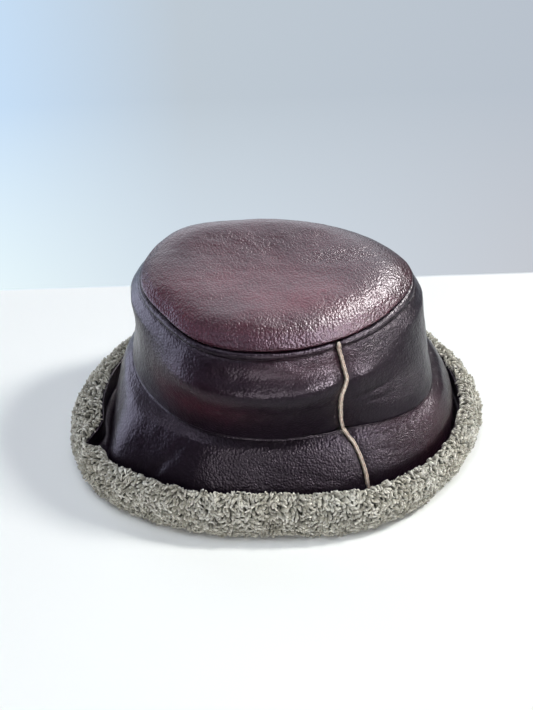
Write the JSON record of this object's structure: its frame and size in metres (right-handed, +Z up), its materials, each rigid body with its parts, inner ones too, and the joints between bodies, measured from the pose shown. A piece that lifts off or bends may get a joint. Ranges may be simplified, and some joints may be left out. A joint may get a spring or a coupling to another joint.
{
  "type": "shearling bucket hat",
  "caption": "Shearling bucket hat: dark leather outside, curly wool inside, its brim edge turned up so that the wool shows all round. It rests on its brim.",
  "frame": {"origin": "centre of the hat's box, on the surface that the brim rests on", "axes": "+Z up through the crown, +X to the right in the picture, -Y to the front, where the seam shows"},
  "size_m": [0.2911, 0.2585, 0.1332],
  "materials": {
    "leather": "satin nappa, fine pebbled grain, dark burgundy brown",
    "cut_edge": "raw cut edge, matte pinkish tan",
    "wool": "curly sheared wool, matte greige"
  },
  "bodies": {
    "root": {"top_panel": "leather", "side_band": "leather", "brim": "leather", "band_seam": "cut_edge", "brim_seam": "cut_edge", "top_fleece": "wool", "band_fleece": "wool", "brim_fleece": "wool"}
  },
  "joints": []
}
